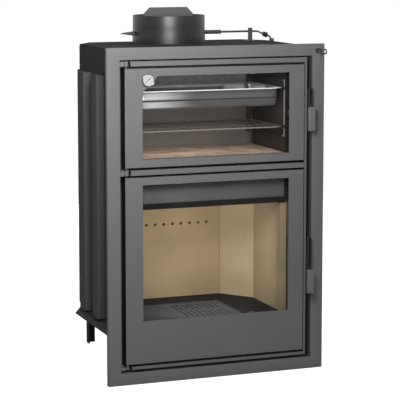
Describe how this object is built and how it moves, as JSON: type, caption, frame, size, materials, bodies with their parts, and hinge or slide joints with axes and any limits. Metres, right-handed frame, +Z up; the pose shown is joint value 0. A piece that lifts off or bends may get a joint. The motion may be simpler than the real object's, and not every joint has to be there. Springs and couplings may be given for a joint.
{
  "type": "wood fireplace insert with oven",
  "caption": "Steel wood fireplace insert with an oven over a lined firebox, glazed doors, lever latches, a flue collar and a pull-rod damper.",
  "frame": {"origin": "Middle of the bounding box in plan, at the lower edge of the front frame.", "axes": "+Z up; -Y is the front, where the doors open; +X is the latch side, on the right as seen from the front."},
  "size_m": [0.76, 0.5852, 1.2135],
  "materials": {
    "front_frame": "matt anthracite high-temperature paint",
    "top_bar": "matt anthracite high-temperature paint",
    "middle_bar": "matt anthracite high-temperature paint",
    "bottom_bar": "matt anthracite high-temperature paint",
    "latch_bar": "matt anthracite high-temperature paint",
    "hinge_brackets": "matt anthracite high-temperature paint",
    "front_plate": "matt black high-temperature paint",
    "side_walls": "matt anthracite high-temperature paint",
    "back_wall": "matt anthracite high-temperature paint",
    "corner_panels": "matt anthracite high-temperature paint",
    "top_plate": "matt anthracite high-temperature paint",
    "base_plate": "matt black high-temperature paint",
    "base_skirts": "matt black high-temperature paint",
    "air_channels": "matt anthracite high-temperature paint",
    "legs": "matt black high-temperature paint",
    "ash_box": "matt black high-temperature paint",
    "ash_pan": "sheet steel, dull",
    "hearth_plate": "sooted cast iron",
    "grate": "cast iron dusted with ash",
    "back_lining": "pale fireproof lining board, lightly sooted",
    "side_linings": "pale fireproof lining board, lightly sooted",
    "corner_linings": "pale fireproof lining board, lightly sooted",
    "baffle_board": "pale fireproof lining board, lightly sooted",
    "air_bar": "heat-worn sheet steel",
    "oven_floor": "black enamel",
    "oven_side_walls": "dull brown-black steel",
    "oven_back": "dull brown-grey steel",
    "oven_ceiling": "dull black steel",
    "oven_stone": "fired clay baking stone",
    "rack_supports": "plated wire",
    "wire_grid": "plated wire",
    "roasting_tray": "plain stainless steel",
    "flue_collar": "matt anthracite high-temperature paint",
    "axle_sleeve": "matt black high-temperature paint",
    "axle_post": "matt black high-temperature paint",
    "rod_bush": "matt black high-temperature paint",
    "latch_bushes": "matt black high-temperature paint",
    "oven_door_frame": "matt anthracite high-temperature paint",
    "oven_glass": "smoke-toned heatproof ceramic glass",
    "oven_door_seal": "black glass-fibre rope",
    "oven_glass_clips": "zinc-plated steel",
    "oven_hinge_pins": "bright steel",
    "thermometer_case": "polished stainless steel",
    "thermometer_dial": "printed pale dial, plain numbers",
    "thermometer_lens": "clear glass",
    "thermometer_pointer": "black",
    "firebox_door_frame": "matt anthracite high-temperature paint",
    "firebox_glass": "smoke-toned heatproof ceramic glass",
    "firebox_door_seal": "black glass-fibre rope",
    "firebox_glass_clips": "zinc-plated steel",
    "firebox_hinge_pins": "bright steel",
    "oven_latch_lever": "matt black high-temperature paint",
    "firebox_latch_lever": "matt black high-temperature paint",
    "oven_latch_grip": "matt grey",
    "firebox_latch_grip": "matt grey",
    "damper_plate": "dull sheet steel",
    "damper_axle": "dull round bar",
    "axle_end_nut": "matt black high-temperature paint",
    "crank_clamp": "matt black high-temperature paint",
    "pull_rod": "dull round bar"
  },
  "bodies": {
    "body": {"front_frame": "front_frame", "top_bar": "top_bar", "middle_bar": "middle_bar", "bottom_bar": "bottom_bar", "latch_bar": "latch_bar", "hinge_brackets": "hinge_brackets", "front_plate": "front_plate", "side_walls": "side_walls", "back_wall": "back_wall", "corner_panels": "corner_panels", "top_plate": "top_plate", "base_plate": "base_plate", "base_skirts": "base_skirts", "air_channels": "air_channels", "legs": "legs", "ash_box": "ash_box", "ash_pan": "ash_pan", "hearth_plate": "hearth_plate", "grate": "grate", "back_lining": "back_lining", "side_linings": "side_linings", "corner_linings": "corner_linings", "baffle_board": "baffle_board", "air_bar": "air_bar", "oven_floor": "oven_floor", "oven_side_walls": "oven_side_walls", "oven_back": "oven_back", "oven_ceiling": "oven_ceiling", "oven_stone": "oven_stone", "rack_supports": "rack_supports", "wire_grid": "wire_grid", "roasting_tray": "roasting_tray", "flue_collar": "flue_collar", "axle_sleeve": "axle_sleeve", "axle_post": "axle_post", "rod_bush": "rod_bush", "latch_bushes": "latch_bushes"},
    "oven_door": {"oven_door_frame": "oven_door_frame", "oven_glass": "oven_glass", "oven_door_seal": "oven_door_seal", "oven_glass_clips": "oven_glass_clips", "oven_hinge_pins": "oven_hinge_pins", "thermometer_case": "thermometer_case", "thermometer_dial": "thermometer_dial", "thermometer_lens": "thermometer_lens"},
    "firebox_door": {"firebox_door_frame": "firebox_door_frame", "firebox_glass": "firebox_glass", "firebox_door_seal": "firebox_door_seal", "firebox_glass_clips": "firebox_glass_clips", "firebox_hinge_pins": "firebox_hinge_pins"},
    "pointer": {"thermometer_pointer": "thermometer_pointer"},
    "oven_latch": {"oven_latch_lever": "oven_latch_lever", "oven_latch_grip": "oven_latch_grip"},
    "firebox_latch": {"firebox_latch_lever": "firebox_latch_lever", "firebox_latch_grip": "firebox_latch_grip"},
    "damper": {"damper_plate": "damper_plate", "damper_axle": "damper_axle", "axle_end_nut": "axle_end_nut", "crank_clamp": "crank_clamp"},
    "rod": {"pull_rod": "pull_rod"}
  },
  "joints": [
    {"name": "oven_door_hinge", "type": "hinge", "parent": "body", "child": "oven_door", "pos_m": [-0.311, -0.2085, 0.87], "axis": [0, 0, -1], "range_deg": [0, 110]},
    {"name": "firebox_door_hinge", "type": "hinge", "parent": "body", "child": "firebox_door", "pos_m": [-0.311, -0.2085, 0.37], "axis": [0, 0, -1], "range_deg": [0, 110]},
    {"name": "thermometer_pointer_turn", "type": "hinge", "parent": "oven_door", "child": "pointer", "pos_m": [-0.2415, -0.2275, 0.9955], "axis": [0, 1, 0], "range_deg": [0, 270]},
    {"name": "oven_latch_turn", "type": "hinge", "parent": "body", "child": "oven_latch", "pos_m": [0.325, -0.2025, 0.942], "axis": [-1, 0, 0], "range_deg": [0, 35]},
    {"name": "firebox_latch_turn", "type": "hinge", "parent": "body", "child": "firebox_latch", "pos_m": [0.325, -0.2025, 0.439], "axis": [-1, 0, 0], "range_deg": [0, 35]},
    {"name": "damper_rod_pull", "type": "slide", "parent": "body", "child": "rod", "axis": [0, -1, 0], "range_m": [0, 0.0642]},
    {"name": "damper_turn", "type": "hinge", "parent": "body", "child": "damper", "pos_m": [-0.04, 0.1405, 1.126], "axis": [-1, 0, 0], "range_deg": [0, 80.2]}
  ],
  "couplings": [
    {"joint": "damper_turn", "follows": "damper_rod_pull", "rad_per_m": 21.75}
  ]
}
